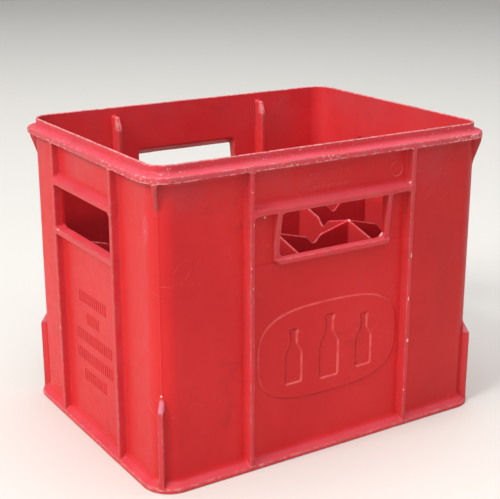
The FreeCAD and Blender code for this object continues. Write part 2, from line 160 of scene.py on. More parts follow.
def crate(X, Y, Z, f):
    """Distance to the moulding. f is the set of features to work out here."""
    x, y = np.abs(X), np.abs(Y)
    z = Z
    qx, qy = x - CX, y - CY
    d = CR - (np.hypot(np.maximum(qx, 0), np.maximum(qy, 0)) + np.minimum(np.maximum(qx, qy), 0))
    recess = None
    if "long" in f:
        recess = 0.35 * step(z - 207.5, 0.9) * step(265 - z, 2) * step(92.0 - x, 1.5)
    b = shell(d, z, recess)
    if "long" in f:
        dl = W2 - y
        if "rib" in f:
            b = ru(b, rib(x, dl, z, 95.0), 2.8)
        if "hood" in f:
            b = ru(b, hood(x, dl, z, 95.0), 4.2)
        if "sill" in f:
            uu = np.abs(np.where(Y < 0, X, -X) - 1.3)
            face = 0.45 + 4.8 * np.clip((257.0 - z) / 32.0, 0, 1)
            lips = ri(uu - (GRIP + 3.6 + 0.30 * (dl - 0.45)), face - dl, 1.3)
            lips = np.maximum(np.maximum(lips, np.maximum(z - 260.0, 209.0 - z)), (dl - 9.3) * 1.2)
            bar_ = ri(uu - (GRIP + 3.8), (206.4 - 0.25 * (dl - 1.8)) - z, 6.0)
            bar_ = ri(ri(bar_, z - SILL, 0.9), 1.8 - dl, 1.5)
            bar_ = np.maximum(bar_, (dl - 9.3) * 1.2)
            b = ru(b, ru(lips, bar_, 2.0), 2.2)
        if "hole" in f:
            uu = np.abs(np.where(Y < 0, X, -X) - 1.3)
            b = ri(b, -grip(uu, dl, z, GRIP - 1.1, 7.0), 1.2)
        if "guide" in f:
            g = ri(np.abs(x - 94.0) - 2.7, dl - 27.0, 1.8)
            g = ri(g, (13.5 * (dl - 27.0) + 6.0 * (z - 292.0)) / 14.77, 1.6)
            g = ri(g, z - 305.6, 1.8)
            g = np.maximum(np.maximum(g, 11.6 - dl), 13.6 - z)
            b = ru(b, g, 1.7)
    if "end" in f:
        de = L2 - x
        if "rib" in f:
            b = ru(b, rib(y, de, z, 67.0), 2.8)
        if "hood" in f:
            b = ru(b, hood(y, de, z, 67.0), 4.2)
        if "sill" in f:
            s = ri(z - SILL, 0.45 - de, 1.9)
            s = ri(s, (205.6 - 0.35 * de - z) * 0.94, 1.4)
            b = ru(b, np.maximum(np.maximum(s, y - 67.0), de - 9.3), 2.8)
        if "hole" in f:
            b = ri(b, -grip(y, de, z, GRIP - 0.1, 4.0), 1.3)
    if "gusset" in f:
        t = np.abs(qx - qy) * 0.7071
        r = (qx + qy) * 0.7071
        g = ri(t - 2.55, r - 28.4, 1.0)
        low = ri(t - np.clip(1.25 + 1.55 * (z - 273.0) / 27.0, 1.1, 2.8), r - 28.4, 0.8)
        low = ri(low, (272.0 + 2.75 * (r - 20.0) - z) * 0.342, 0.8)
        low = np.maximum(np.maximum(low, z - 301.5), 19.7 - r)
        b = ru(b, low, 2.2)
        g = ri(g, (z - (95.0 - 1.6 * (r - 20.0))) * 0.53, 1.6)
        g = np.maximum(np.maximum(g, 4.0 - z), 19.7 - r)
        b = ru(b, g, 1.5)
        b = b - np.where((qx > 0) & (qy > 0), 0.42 * np.exp(-(t / 0.8) ** 2) * step(d - 4, 6) * step(10.4 - d, 1.0), 0.0)
    b = b + waves(X, Y, Z)
    # keep to the outside size
    return np.maximum(b, np.maximum(0.03 - d, np.maximum(z - (H - 0.02), 0.02 - z)))


def bitten(field, lo, hi):
    """field with the bites near the box lo..hi taken out of it."""
    near = [b for b in BITES if all(lo[i] - b[3] - 2 < b[i] < hi[i] + b[3] + 2 for i in range(3))]

    def f(X, Y, Z):
        v = field(X, Y, Z)
        if v.ndim == 3:
            for bx, by, bz, r in near:
                i = np.nonzero(np.abs(X[:, 0, 0] - bx) < r + 1.5)[0]
                j = np.nonzero(np.abs(Y[0, :, 0] - by) < r + 1.5)[0]
                k = np.nonzero(np.abs(Z[0, 0, :] - bz) < r + 1.5)[0]
                if len(i) and len(j) and len(k):
                    s = np.s_[i[0]:i[-1] + 1, j[0]:j[-1] + 1, k[0]:k[-1] + 1]
                    dist = np.sqrt((X[i[0]:i[-1] + 1] - bx) ** 2 + (Y[:, j[0]:j[-1] + 1] - by) ** 2 + (Z[:, :, k[0]:k[-1] + 1] - bz) ** 2)
                    v[s] = ri(v[s], r - dist, 0.45)
        else:
            for bx, by, bz, r in near:
                m = np.nonzero((np.abs(X - bx) < r + 1.5) & (np.abs(Y - by) < r + 1.5) & (np.abs(Z - bz) < r + 1.5))[0]
                if len(m):
                    dist = np.sqrt((X[m] - bx) ** 2 + (Y[m] - by) ** 2 + (Z[m] - bz) ** 2)
                    v[m] = ri(v[m], r - dist, 0.45)
        return v
    return f if near else field


# ------------------------------------------------------------------ dividers and floor
def crest(s, gap):
    s = np.minimum(s, gap - s)
    k = gap / 2 - VALLEY_HALF
    t = np.clip((s - k) / VALLEY_HALF, 0, 1)
    return np.where(s <= k, NODE_Z - (NODE_Z - SHOULDER_Z) * s / k,
                    SHOULDER_Z - (SHOULDER_Z - VALLEY_Z) * (0.5 - 0.5 * np.cos(math.pi * t)))


def end_crest(s, gap):
    slope = (NODE_Z - SHOULDER_Z) / 35.0
    t = np.clip((s - (gap - 26)) / 26.0, 0, 1)
    return NODE_Z - slope * np.minimum(s, gap - 26) - 3.0 * np.sin(math.pi * np.minimum(1.0, t * 1.15)) + 5.0 * t * t


def dividers(X, Y, Z):
    s = np.mod(X + 2 * PX, PX)
    zz = Z
    ea = np.abs(np.abs(Y) - PY / 2) - (1.22 + 0.0012 * (200 - zz))
    b = ri(ea, (zz - crest(s, PX)) * 0.95, 0.95)
    b = np.maximum(b, np.abs(X) - 188.5)
    a = np.abs(Y)
    for xc, end in ((-PX, 123.5), (0.0, 138.5), (PX, 123.5)):
        h = np.where(a <= PY / 2, crest(np.minimum(a + PY / 2, PY), PY), end_crest(np.maximum(a - PY / 2, 0), end - 0.5 - PY / 2))
        c = ri(np.abs(X - xc) - (1.22 + 0.0012 * (200 - zz)), (zz - h) * 0.95, 0.95)
        c = np.maximum(c, a - end)
        b = ru(b, c, 2.0)
    return np.maximum(b + 0.25 * waves(X * 1.3, Y * 1.3, Z), 13.9 - zz)


def floor_field(X, Y, Z):
    x = np.mod(X + 188.0, PX) - PX / 2
    y = np.mod(Y + 138.0, PY) - PY / 2
    r = np.hypot(x, y)
    spoke = np.minimum(np.abs(x + y), np.abs(x - y)) * 0.7071 - 3.5
    open_ = r - 12.0
    open_ = np.minimum(open_, np.maximum(np.abs(r - 18.0) - 2.5, -spoke))
    open_ = np.minimum(open_, np.maximum(np.abs(r - 30.75) - 6.25, -spoke))
    ring = np.abs(Z - 12.0) - 1.98
    b = ri(ring, -open_, 0.8)
    qx, qy = np.abs(X) - CX, np.abs(Y) - CY
    d = CR - (np.hypot(np.maximum(qx, 0), np.maximum(qy, 0)) + np.minimum(np.maximum(qx, qy), 0))
    return np.maximum(b, 11.9 - d)


# ------------------------------------------------------------------ meshing
COARSE = 1.0


def run(*spans):
    """Grid lines from (start, end, step) spans that follow on from each other."""
    out = [spans[0][0]]
    for a, b, s in spans:
        n = max(1, int(round((b - a) / (s * COARSE))))
        out += list(a + (b - a) * (np.arange(n) + 1) / n)
    return np.array(out)


def mirrored(half):
    return np.concatenate([-half[::-1], half])


GX = mirrored(run((0.9, 56.5, 3.3), (56.5, 72.3, 1.05), (72.3, 85.8, 2.9), (85.8, 104.3, 0.78), (104.3, 165.2, 3.6), (165.2, 201.45, 0.93)))
GY = mirrored(run((1.1, 56.6, 3.3), (56.6, 76.4, 0.82), (76.4, 111.9, 3.4), (111.9, 151.45, 0.93)))
GZ = run((-1.35, 16.4, 0.71), (16.4, 70.2, 4.5), (70.2, 98.3, 1.5), (98.3, 196.6, 5.2), (196.6, 222.3, 0.87),
         (222.3, 251.2, 3.4), (251.2, 273.9, 0.83), (273.9, 297.3, 2.1), (297.3, 316.9, 0.66))


def refine(P, field, lo, hi, steps=3):
    """Moves points onto the surface."""
    for _ in range(steps):
        v = field(P[:, 0], P[:, 1], P[:, 2])
        e = 0.06
        g = np.stack([field(P[:, 0] + e * (i == 0), P[:, 1] + e * (i == 1), P[:, 2] + e * (i == 2)) - v for i in range(3)], -1) / e
        g2 = np.maximum((g * g).sum(-1), 0.25)
        P = np.clip(P - g * (v / g2)[:, None], lo, hi)
    return P


def mesh_block(xs, ys, zs, field, owner):
    """Closed surface of the part of the field that owner claims: (vertices, quads, normals, curvature)."""
    X, Y, Z = xs[:, None, None], ys[None, :, None], zs[None, None, :]
    F = np.broadcast_to(field(X, Y, Z), (len(xs), len(ys), len(zs))).copy()
    solid = F < 0
    lab = solid & np.broadcast_to(owner(X, Y, Z), F.shape)
    for ax in range(3):     # nothing of the piece on the block's outer layer
        s = [slice(None)] * 3
        for end in (0, -1):
            s[ax] = end
            lab[tuple(s)] = False
    ny, nz = len(ys), len(zs)
    cell = lambda i, j, k: (i * ny + j) * nz + k
    quads = []
    for ax in range(3):
        a = [slice(None)] * 3
        b = [slice(None)] * 3
        a[ax], b[ax] = slice(0, -1), slice(1, None)
        la, lb = lab[tuple(a)], lab[tuple(b)]
        for first, second, flip in ((la, lb, False), (lb, la, True)):
            i, j, k = np.nonzero(first & ~second)
            if not len(i):
                continue
            p, q = [(1, 2), (2, 0), (0, 1)][ax]
            base = [i, j, k]
            corners = []
            for dp, dq in ((-1, -1), (0, -1), (0, 0), (-1, 0)):
                c = list(base)
                c[p] = c[p] + dp
                c[q] = c[q] + dq
                corners.append(cell(*c))
            m = np.stack(corners if not flip else corners[::-1], -1)
            quads.append(m)
    if not quads:
        return None
    Q = np.concatenate(quads)
    ids, inv = np.unique(Q.ravel(), return_inverse=True)
    Q = inv.reshape(-1, 4)
    ci, rest = np.divmod(ids, ny * nz)
    cj, ck = np.divmod(rest, nz)
    # corners of each cell
    val = np.stack([F[ci + a, cj + b, ck + c] for a in (0, 1) for b in (0, 1) for c in (0, 1)], -1)
    pos = np.stack([np.stack([xs[ci + a], ys[cj + b], zs[ck + c]], -1) for a in (0, 1) for b in (0, 1) for c in (0, 1)], 1)
    tot, cnt = np.zeros((len(ids), 3)), np.zeros(len(ids))
    for a in range(8):
        for bit in (1, 2, 4):
            b = a ^ bit
            if b < a:
                continue
            cross = (val[:, a] < 0) != (val[:, b] < 0)
            t = np.where(cross, val[:, a] / np.where(cross, val[:, a] - val[:, b], 1.0), 0.0)
            tot += np.where(cross[:, None], pos[:, a] + (pos[:, b] - pos[:, a]) * t[:, None], 0.0)
            cnt += cross
    on = cnt > 0
    lo, hi = pos.min(1), pos.max(1)
    P = np.where(on[:, None], tot / np.maximum(cnt, 1)[:, None], (lo + hi) / 2)
    P[on] = refine(P[on], field, lo[on], hi[on])
    N = np.zeros_like(P)
    C = np.zeros(len(P))
    S = P[on]
    f = lambda D: field(S[:, 0] + D[0], S[:, 1] + D[1], S[:, 2] + D[2])
    e = 0.22
    g = np.stack([f(np.eye(3)[i] * e) - f(-np.eye(3)[i] * e) for i in range(3)], -1)
    N[on] = g / np.maximum(np.linalg.norm(g, axis=1), 1e-9)[:, None]
    h = 1.1
    lap = sum(f(np.eye(3)[i] * s) for i in range(3) for s in (h, -h)) / (h * h)
    C[on] = lap
    N[~on] = (0, 0, 1)
    return P, Q, N, C


PIECES = {}
# knocks that went pale, mm: x, y, z, radius
CHIPS = [(-191, -19.4, 145.2, 1.5), (-76.9, -141, 253, 1.7), (-93.1, -149.5, 250.6, 1.7), (-62.5, -136, 211.5, 3.2), (-57, -136, 211.5, 2.4),
         (62.5, -140, 213.2, 2.4), (64.2, -141, 215, 1.8), (93.5, -48.2, 202, 2.2), (90.5, -148, 266, 2.6), (88.4, -147, 264.8, 1.4),
         (-185.5, -134.7, 96.5, 1.6), (-150.7, -141, 137.4, 1.3), (-167.3, -141, 151, 1.3), 
         (-94.5, -149.5, 188, 1.3), (-94, -149.5, 131, 1.5), (95.5, -149.5, 96, 2.2), (96, -149.5, 120, 1.6), (93.4, -149.5, 42, 1.6)]
CHIPS += [(s * 96.0 + float(_r.uniform(-2.5, 2.5)), t * 149.5, float(_r.uniform(15, 295)), float(_r.uniform(0.7, 1.15)))
          for s in (-1, 1) for t in (-1, 1) for _ in range(7)]
CHIPS += [(t * 199.5, s * 67.0 + float(_r.uniform(-2.5, 2.5)), float(_r.uniform(15, 295)), float(_r.uniform(0.7, 1.1)))
          for s in (-1, 1) for t in (-1, 1) for _ in range(5)]
CHIPS += [(-199.3, y, 211.0, r) for y, r in ((60.5, 1.6), (57.0, 1.5), (53.2, 1.3), (49.4, 1.1))]
CHIPS = np.array(CHIPS)


def scars(P):
    """Per-vertex chips and rim scuffing, both 0 to 1."""
    chip = np.zeros(len(P))
    for x, y, z, r in CHIPS:
        d = np.sqrt((P[:, 0] - x) ** 2 + (P[:, 1] - y) ** 2 + (P[:, 2] - z) ** 2)
        chip = np.maximum(chip, np.clip(1.25 - d / r, 0, 1))
    qx, qy = np.abs(P[:, 0]) - CX, np.abs(P[:, 1]) - CY
    d = CR - (np.hypot(np.maximum(qx, 0), np.maximum(qy, 0)) + np.minimum(np.maximum(qx, qy), 0))
    rim = np.clip((P[:, 2] - 299) / 1.0, 0, 1) * np.where((d < 10.6) | (P[:, 2] > 314.2), 1.0, 0.0)
    ang = np.arctan2(P[:, 1] / W2, P[:, 0] / L2)
    lumps = 0.5 + 0.25 * np.sin(7 * ang + 1.3) + 0.25 * np.sin(17 * ang + 4.0)
    for sx, sy, k in ((-1, -1, 1.0), (1, -1, 0.7), (1, 1, 0.7), (-1, 1, 0.85)):
        lumps += 0.8 * k * np.exp(-((P[:, 0] - sx * 190) ** 2 + (P[:, 1] - sy * 141) ** 2) / 26.0 ** 2)
    scuff = rim * (0.2 + np.clip(lumps, 0, 1.2) * np.where(d < 3.2, 1.0, 0.45))
    # a rubbed streak beside the front left corner
    d = np.sqrt(((P[:, 0] + 190.8) / 5.0) ** 2 + ((P[:, 1] + 122) / 4.0) ** 2 + ((P[:, 2] - 255) / 13.0) ** 2)
    scuff = np.maximum(scuff, np.clip(1.2 - d, 0, 0.9))
    return chip.astype(np.float32), scuff.astype(np.float32)


def add_mesh(name, blocks, replaces):
    """One Blender piece from several blocks."""
    blocks = [b for b in blocks if b is not None]
    P, Q, N, C = [], [], [], []
    n = 0
    for p, q, nn, c in blocks:
        P.append(p), Q.append(q + n), N.append(nn), C.append(c)
        n += len(p)
    P, Q, N, C = np.concatenate(P), np.concatenate(Q), np.concatenate(N), np.concatenate(C)
    me = bpy.data.meshes.new(name)
    me.vertices.add(len(P))
    me.vertices.foreach_set("co", (P * 0.001).astype(np.float32).ravel())
    me.loops.add(4 * len(Q))
    me.loops.foreach_set("vertex_index", Q.astype(np.int32).ravel())
    me.polygons.add(len(Q))
    me.polygons.foreach_set("loop_start", np.arange(0, 4 * len(Q), 4, dtype=np.int32))
    me.polygons.foreach_set("use_smooth", np.ones(len(Q), bool))
    me.update(calc_edges=True)
    me.normals_split_custom_set_from_vertices(N.astype(np.float32))
    ridge = (np.abs(np.abs(P[:, 0]) - CX - np.abs(P[:, 1]) + CY) < 3.5) & (np.abs(P[:, 0]) > 176) & (P[:, 2] > 97) & (P[:, 2] < 272)
    convex = (np.clip(C * 0.9, 0, 1) * np.where(ridge, 0.25, 1.0)).astype(np.float32)
    hollow = np.clip(-C * 0.9, 0, 1).astype(np.float32)
    chip, scuff = scars(P)
    for key, v in (("edge_wear", convex), ("polish_and_highlight", convex * 0), ("grime_and_shade", hollow), ("chip", chip), ("scuff", scuff)):
        a = me.attributes.new(key, "FLOAT", "POINT")
        a.data.foreach_set("value", v)
    return place(name, me, replaces)


def place(name, me, replaces):
    ob = bpy.data.objects.new(name, me)
    bpy.context.scene.collection.objects.link(ob)
    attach(ob, "root")
    if replaces:
        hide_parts(*replaces)
    PIECES[name] = ob
    return ob


def pick(lines, lo, hi):
    """Grid lines over lo..hi and two more each side."""
    i = max(0, np.searchsorted(lines, lo) - 2)
    j = min(len(lines), np.searchsorted(lines, hi) + 2)
    return lines[i:j]


def block(box, feats, owner):
    (x0, x1), (y0, y1), (z0, z1) = box
    xs, ys, zs = pick(GX, x0, x1), pick(GY, y0, y1), pick(GZ, z0, z1)
    f = bitten(lambda X, Y, Z: crate(X, Y, Z, feats), (xs[0], ys[0], zs[0]), (xs[-1], ys[-1], zs[-1]))
    own = lambda X, Y, Z: (X >= x0) & (X < x1) & (Y >= y0) & (Y < y1) & (Z >= z0) & (Z < z1) & owner(X, Y, Z)
    return mesh_block(xs, ys, zs, f, own)


ANY = lambda X, Y, Z: True
Z_FOOT, Z_RIM = 17.3, 297.0
HOOD0, HOOD1 = 253.6, 273.0
SILL0 = 199.5
HIGH = 400.0


def wall_pieces(side):
    """All pieces of one wall. (a, b) are along the wall and in from outside."""
    long_ = side in ("front", "back")
    s = -1 if side in ("front", "left") else 1
    cut = 168.0 if long_ else 118.0
    r0, r1 = (87.2, 102.8) if long_ else (59.4, 75.4)
    g0 = 73.2 if long_ else r0          # the sill piece reaches this far
    half = W2 if long_ else L2
    deep = 12.6                         # walls own this depth; guide ribs are further in

    def box(u0, u1, z0, z1, d0=-5.0, d1=deep):
        lo, hi = sorted((s * (half - d0), s * (half - d1)))
        w = (lo, hi)
        return ((u0, u1), w, (z0, z1)) if long_ else (w, (u0, u1), (z0, z1))

    base = {"long" if long_ else "end"}
    full = base | {"rib", "hood", "sill", "hole"} | ({"guide"} if long_ else set())
    near_rib = base | {"rib", "hood"} | ({"guide"} if long_ else {"sill", "hole"})
    add_mesh(f"{side}_rim_rail", [block(box(-cut, cut, Z_RIM, HIGH), base | {"rib"} | ({"guide"} if long_ else set()), ANY)], [f"{side}_rim_rail"])
    add_mesh(f"{side}_foot_rail", [block(box(-cut, cut, -5, Z_FOOT), base | {"rib"} | ({"guide"} if long_ else set()), ANY)], [f"{side}_foot_rail"])
    add_mesh(f"{side}_outer_ribs", [block(box(a, b, Z_FOOT, Z_RIM), near_rib, ANY) for a, b in ((-r1, -r0), (r0, r1))], [f"{side}_outer_ribs"])
    add_mesh(f"{side}_handle_hood", [block(box(-r0, r0, HOOD0, HOOD1), full - {"guide"}, ANY)], [f"{side}_handle_hood"])
    add_mesh(f"{side}_handle_sill", [block(box(-g0, g0, SILL0, HOOD0), full - {"guide", "rib"} if long_ else full, ANY)], [f"{side}_handle_sill"])
    panel = [box(-cut, -r1, Z_FOOT, Z_RIM), box(r1, cut, Z_FOOT, Z_RIM), box(-r0, r0, Z_FOOT, SILL0), box(-r0, r0, HOOD1, Z_RIM)]
    if long_:
        panel += [box(-r0, -g0, SILL0, HOOD0), box(g0, r0, SILL0, HOOD0)]
    add_mesh(f"{side}_wall_panel", [block(b, base | ({"guide"} if long_ and i < 2 else set()) | ({"sill"} if long_ and i > 3 else set()), ANY) for i, b in enumerate(panel)], [f"{side}_wall_panel"])
    if long_:
        add_mesh(f"{side}_guide_ribs", [block(box(a - 9, a + 9, 10, 312, deep, 31), base | {"guide"}, ANY) for a in (-94.0, 94.0)], [f"{side}_guide_ribs"])


def corner_pieces():
    feats = {"gusset"}
    q = [(-1, -1, "front_left"), (1, -1, "front_right"), (1, 1, "back_right"), (-1, 1, "back_left")]

    def box(sx, sy, a, b, z0, z1):
        xr = sorted((sx * a, sx * 215.0))
        yr = sorted((sy * b, sy * 165.0))
        return (tuple(xr), tuple(yr), (z0, z1))

    for sx, sy, name in q:
        tip = lambda X, Y, Z: ~((np.abs(X) >= 180) & (np.abs(Y) >= 130) & (((Z < 105)) | (Z >= 262)))
        add_mesh(f"{name}_corner_post", [block(box(sx, sy, 168.0, 118.0, Z_FOOT, Z_RIM), feats, tip)], [f"{name}_corner_post"])
    add_mesh("rim_corners", [block(box(sx, sy, 168.0, 118.0, Z_RIM, HIGH), feats, ANY) for sx, sy, _ in q], ["rim_corners"])
    add_mesh("foot_corners", [block(box(sx, sy, 168.0, 118.0, -5, Z_FOOT), feats, ANY) for sx, sy, _ in q], ["foot_corners"])
    add_mesh("rim_gussets", [block(box(sx, sy, 180.0, 130.0, 262, Z_RIM), feats, ANY) for sx, sy, _ in q], ["rim_gussets"])
    add_mesh("foot_gussets", [block(box(sx, sy, 180.0, 130.0, Z_FOOT, 105), feats, ANY) for sx, sy, _ in q], ["foot_gussets"])


for side in ("front", "back", "left", "right"):
    wall_pieces(side)
corner_pieces()

# ------------------------------------------------------------------ inside
DX = mirrored(run((0.37, 4.6, 0.74), (4.6, 33.0, 3.2), (33.0, 61.0, 1.3), (61.0, 89.4, 3.2), (89.4, 98.6, 0.74), (98.6, 127.0, 3.2),
                  (127.0, 155.0, 1.3), (155.0, 190.0, 2.7)))
DY = mirrored(run((0.65, 14.3, 1.3), (14.3, 41.4, 3.0), (41.4, 50.6, 0.74), (50.6, 140.0, 2.4)))
DZ = run((12.9, 176.0, 12.0), (176.0, 203.6, 0.92))


def sheet_block(x0, x1, y0, y1):
    xs, ys = pick(DX, x0, x1), pick(DY, y0, y1)
    own = lambda X, Y, Z: (X >= x0) & (X < x1) & (Y >= y0) & (Y < y1)
    return mesh_block(xs, ys, DZ, dividers, own)


add_mesh("long_divider_front", [sheet_block(-200, 200, -49.9, -42.1)], ["long_divider_front"])
add_mesh("long_divider_back", [sheet_block(-200, 200, 42.1, 49.9)], ["long_divider_back"])
for name, xc in (("left", -PX), ("middle", 0.0), ("right", PX)):
    add_mesh("cross_divider_" + name, [sheet_block(xc - 4.2, xc + 4.2, a, b) for a, b in ((-150, -49.9), (-42.1, 42.1), (49.9, 150))], ["cross_divider_" + name])
FXL, FYL = run((-190.0, 190.0, 2.0)), run((-140.0, 140.0, 2.0))
FZL = run((9.2, 14.8, 0.8))
add_mesh("floor_lattice", [mesh_block(FXL, FYL, FZL, floor_field, ANY)], ["floor_lattice"])


# ------------------------------------------------------------------ raised trim
def outline(points, n_arc=7):
    """Points along an outline given as [(u, z, corner radius)], counter-clockwise."""
    out = []
    n = len(points)
    for i in range(n):
        p0, p1, p2 = points[i - 1], points[i], points[(i + 1) % n]
        r = p1[2]
        if r <= 0:
            out.append((p1[0], p1[1]))
            continue
        a, b = np.array(p0[:2]) - p1[:2], np.array(p2[:2]) - p1[:2]
        a, b = a / np.hypot(*a), b / np.hypot(*b)
        half = math.acos(max(-1, min(1, float(a @ b)))) / 2
        t, h = r / math.tan(half), (a + b) / np.hypot(*(a + b))
        c = np.array(p1[:2]) + h * r / math.sin(half)
        s, e = np.array(p1[:2]) + a * t - c, np.array(p1[:2]) + b * t - c
        a0, a1 = math.atan2(s[1], s[0]), math.atan2(e[1], e[0])
        da = (a1 - a0 + math.pi) % (2 * math.pi) - math.pi
        for k in range(n_arc):
            w = a0 + da * k / (n_arc - 1)
            out.append((c[0] + r * math.cos(w), c[1] + r * math.sin(w)))
    return np.array(out)


def dense(pts, gap):
    out = []
    n = len(pts)
    for i in range(n):
        a, b = pts[i], pts[(i + 1) % n]
        k = max(1, int(math.ceil(np.hypot(*(b - a)) / gap)))
        out += [a + (b - a) * m / k for m in range(k)]
    return np.array(out)


def even(pts, gap):
    """The outline again with evenly spaced points."""
    q = np.concatenate([pts, pts[:1]])
    s = np.concatenate([[0], np.cumsum(np.hypot(*np.diff(q, axis=0).T))])
    n = int(s[-1] / gap)
    t = np.arange(n) * s[-1] / n
    return np.stack([np.interp(t, s, q[:, 0]), np.interp(t, s, q[:, 1])], -1)


def inset(pts, dist):
    """The outline moved in by dist (counter-clockwise outlines)."""
    nx, pv = np.roll(pts, -1, 0) - pts, pts - np.roll(pts, 1, 0)
    nx = nx / np.maximum(np.hypot(*nx.T), 1e-9)[:, None]
    pv = pv / np.maximum(np.hypot(*pv.T), 1e-9)[:, None]
    n1, n2 = np.stack([-nx[:, 1], nx[:, 0]], -1), np.stack([-pv[:, 1], pv[:, 0]], -1)
    n = n1 + n2
    ln = np.maximum((n * n).sum(-1), 0.5)
    return pts + n * (2 * dist / ln)[:, None]


class Relief:
    """A low relief on a wall: outlines at heights over the wall, filled between. Heights are mm outward."""

    def __init__(self, side):
        self.side, self.v, self.n, self.f, self.wear, self.dirt_and_shade = side, [], [], [], [], []

    def at(self, u, z, h):
        """Row-frame point for (along, up, out) on this wall."""
        d = 9.0 - h
        if self.side == "front":
            return (u, -W2 + d, z)
        if self.side == "back":
            return (-u, W2 - d, z)
        if self.side == "left":
            return (-L2 + d, -u, z)
        return (L2 - d, u, z)

    def turn(self, a, b, c):
        """Direction (along, up, out) in the row frame."""
        if self.side == "front":
            return (a, -c, b)
        if self.side == "back":
            return (-a, c, b)
        if self.side == "left":
            return (-c, -a, b)
        return (c, a, b)

    def ring(self, pts, h, tilt, wear=0.0):
        """Adds a ring of vertices; tilt is how far its normals lean outwards, 0 flat to 1 sideways."""
        nx = np.roll(pts, -1, 0) - np.roll(pts, 1, 0)
        nx = nx / np.maximum(np.hypot(*nx.T), 1e-9)[:, None]
        side = np.stack([nx[:, 1], -nx[:, 0]], -1)
        first = len(self.v)
        up = math.sqrt(max(0.0, 1 - tilt * tilt))
        for (u, z), (a, b) in zip(pts, side):
            self.v.append(self.at(u, z, h))
            self.n.append(self.turn(a * tilt, b * tilt, up))
            # lit: how far the edge faces up and to the left, towards the light; the lit side gets a painted highlight
            # on top of the wear, and the side turned away gets painted shade
            lit = 0.75 * b - 0.55 * a
            self.wear.append(min(1.0, wear * max(0.0, 0.35 + 1.5 * lit)))
            self.dirt_and_shade.append(max(0.0, min(1.0, -3.0 * lit * tilt)) if tilt > 0.25 else 0.0)
        return list(range(first, len(self.v)))

    def band(self, r0, r1):
        n = len(r0)
        for i in range(n):
            j = (i + 1) % n
            self.f.append((r0[i], r0[j], r1[j], r1[i]))

    def fill(self, outer, holes, pts2, grid, h, flip=False):
        """Flat area inside ring outer, outside the rings in holes. pts2 maps index to (u, z)."""
        idx = list(outer)
        for r in holes:
            idx += r
        co = [Vector(pts2[i]) for i in idx]
        edges = []
        start = 0
        for r in [outer] + holes:
            n = len(r)
            edges += [(start + k, start + (k + 1) % n) for k in range(n)]
            start += n
        extra = []
        if grid:
            o = np.array([pts2[i] for i in outer])
            lo, hi = o.min(0), o.max(0)
            rings = [np.array([pts2[i] for i in r]) for r in [outer] + holes]
            allp = np.concatenate(rings)
            for u in np.arange(lo[0] + grid / 2, hi[0], grid):
                for z in np.arange(lo[1] + grid / 2, hi[1], grid):
                    if np.hypot(*(allp - (u, z)).T).min() > grid * 0.55:
                        extra.append((u, z))
        base = len(co)
        co += [Vector(p) for p in extra]
        out = delaunay_2d_cdt(co, edges, [], 0, 1e-6)
        vco, faces, orig = out[0], out[2], out[3]
        where = {}
        for k, o in enumerate(orig):
            src = o[0] if o else None
            if src is not None and src < base:
                where[k] = idx[src]
        used = set()
        keep = []
        rings = [np.array([pts2[i] for i in r]) for r in [outer] + holes]

        def within(p, ring):
            a, b = ring, np.roll(ring, -1, 0)
            c = (a[:, 1] > p[1]) != (b[:, 1] > p[1])
            with np.errstate(divide="ignore", invalid="ignore"):
                xx = (b[:, 0] - a[:, 0]) * (p[1] - a[:, 1]) / (b[:, 1] - a[:, 1]) + a[:, 0]
            return bool((c & (p[0] < xx)).sum() % 2)
        for face in faces:
            c = sum((vco[k] for k in face), Vector((0, 0))) / len(face)
            if within(c, rings[0]) and not any(within(c, r) for r in rings[1:]):
                keep.append(face)
        for face in keep:
            ids = []
            for k in face:
                if k not in where:
                    where[k] = len(self.v)
                    u, z = vco[k]
                    self.v.append(self.at(u, z, h))
                    self.n.append(self.turn(0, 0, 1))
                    self.wear.append(0.0)
                    self.dirt_and_shade.append(0.0)
                ids.append(where[k])
            self.f.append(tuple(ids[::-1] if flip else ids))

    def done(self, name, replaces):
        P = np.array(self.v)
        # the wall's own unevenness carries the relief with it
        w = waves(P[:, 0], P[:, 1], P[:, 2])
        out = np.array(self.turn(0, 0, 1))
        P = P - w[:, None] * out
        me = bpy.data.meshes.new(name)
        # winding: (along, up) is right-handed seen from outside on every wall
        me.from_pydata((P * 0.001).tolist(), [], self.f)
        me.update()
        me.polygons.foreach_set("use_smooth", np.ones(len(me.polygons), bool))
        me.normals_split_custom_set_from_vertices(np.array(self.n, np.float32))
        chip, scuff = scars(P)
        # edge rub on the relief, strongest on the lit side: partly a painted highlight
        rub_and_highlight = np.array(self.wear, np.float32)
        for key, v in (("edge_wear", rub_and_highlight * 0.3), ("polish_and_highlight", rub_and_highlight), ("grime_and_shade", np.array(self.dirt_and_shade, np.float32)), ("chip", chip), ("scuff", scuff)):
            a = me.attributes.new(key, "FLOAT", "POINT")
            a.data.foreach_set("value", v)
        return place(name, me, replaces)


